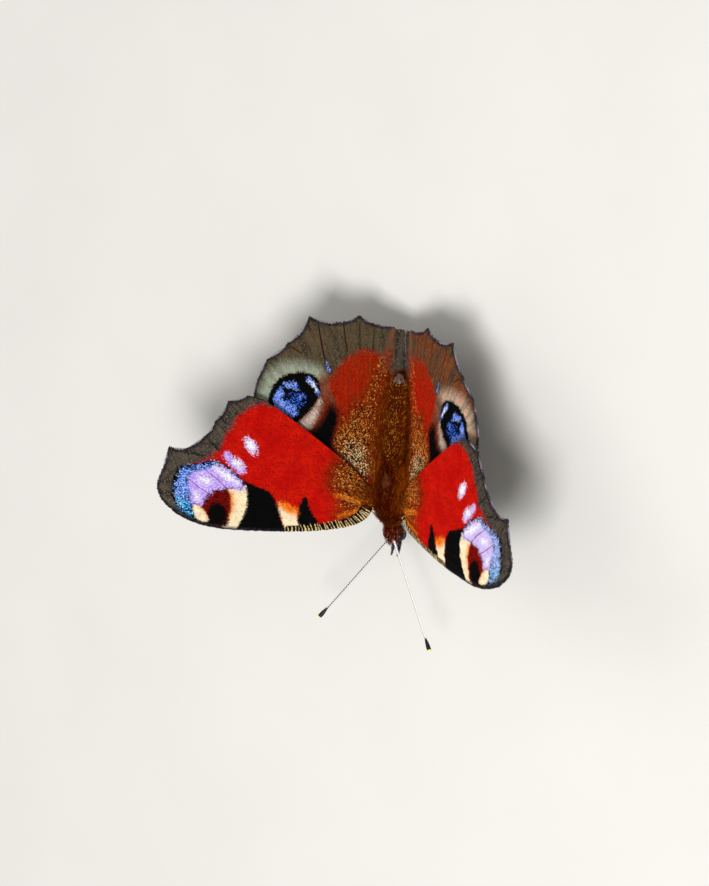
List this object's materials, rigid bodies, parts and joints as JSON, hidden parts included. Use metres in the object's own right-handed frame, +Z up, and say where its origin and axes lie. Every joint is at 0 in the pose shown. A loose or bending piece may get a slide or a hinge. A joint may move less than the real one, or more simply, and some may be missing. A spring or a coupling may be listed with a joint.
{
  "type": "peacock butterfly model",
  "caption": "Life-size butterfly standing on its legs with both pairs of wings spread in a shallow V above the floor.",
  "frame": {"origin": "on the floor, below the middle of the part's box", "axes": "+Z up, +Y towards the head, +X towards the butterfly's right wings"},
  "size_m": [0.058, 0.0446, 0.0223],
  "materials": {
    "wing": "matt scales",
    "thorax_hair": "long hair",
    "abdomen_hair": "short hair",
    "palp": "short bristles",
    "eye": "glossy",
    "horn": "satin",
    "femur": "satin",
    "leg": "satin"
  },
  "bodies": {
    "root": {"thorax": "thorax_hair", "abdomen": "abdomen_hair", "head": "thorax_hair", "eye_right": "eye", "eye_left": "eye", "palp_right": "palp", "palp_left": "palp", "proboscis": "horn", "antenna_right": "horn", "antenna_left": "horn", "forewing_right": "wing", "forewing_left": "wing", "hindwing_right": "wing", "hindwing_left": "wing", "foreleg_right": "leg", "foreleg_left": "leg", "mid_leg_right_femur": "femur", "mid_leg_left_femur": "femur", "hind_leg_right_femur": "femur", "hind_leg_left_femur": "femur", "mid_leg_right_tibia": "leg", "mid_leg_left_tibia": "leg", "hind_leg_right_tibia": "leg", "hind_leg_left_tibia": "leg", "mid_leg_right_foot": "leg", "mid_leg_left_foot": "leg", "hind_leg_right_foot": "leg", "hind_leg_left_foot": "leg"}
  },
  "joints": []
}
